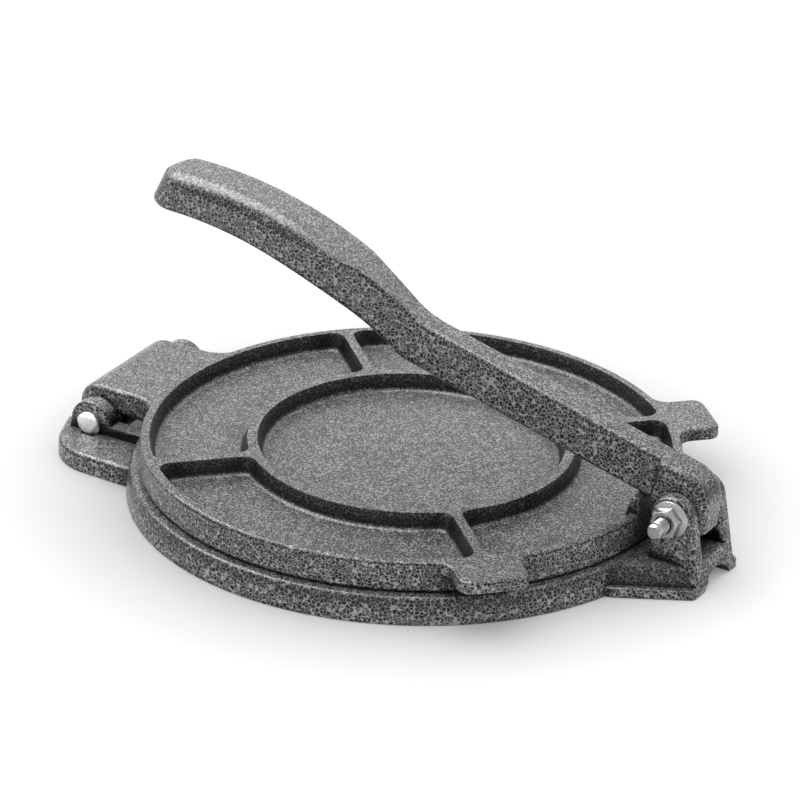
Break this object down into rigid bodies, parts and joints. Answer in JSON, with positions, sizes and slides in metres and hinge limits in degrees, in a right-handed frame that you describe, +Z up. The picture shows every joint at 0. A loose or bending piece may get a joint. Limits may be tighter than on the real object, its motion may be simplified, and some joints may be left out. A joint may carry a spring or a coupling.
{
  "type": "tortilla press",
  "caption": "Cast hand press for flat breads: two round plates joined by a hinge, with a long bent lever pivoted opposite that presses the upper plate down.",
  "frame": {"origin": "on the ground, below the middle of the base's length, 2.75 mm from the plates' middle towards the hinge", "axes": "+Z up, +X from the plates' middle towards the lever's pivot, the hinge at -X"},
  "size_m": [0.2616, 0.2094, 0.1088],
  "materials": {
    "hammertone_base": "grey hammered enamel on cast iron",
    "hammertone_plate": "grey hammered enamel on cast iron",
    "hammertone_lever": "grey hammered enamel on cast iron",
    "bright_steel": "bright zinc plated steel"
  },
  "bodies": {
    "base": {"base_casting": "hammertone_base", "hinge_pin": "bright_steel", "pivot_bolt": "bright_steel", "flange_nut": "bright_steel"},
    "plate": {"top_plate": "hammertone_plate"},
    "lever": {"lever": "hammertone_lever"}
  },
  "joints": [
    {"name": "lever_swing", "type": "hinge", "parent": "base", "child": "lever", "pos_m": [0.11755, 0, 0.0274], "axis": [0, 1, 0], "range_deg": [0, 164]},
    {"name": "plate_open", "type": "hinge", "parent": "base", "child": "plate", "pos_m": [-0.11595, 0, 0.0109], "axis": [0, -1, 0], "range_deg": [0, 13.2]}
  ],
  "couplings": [
    {"joint": "plate_open", "follows": "lever_swing", "ratio": 0.08}
  ]
}
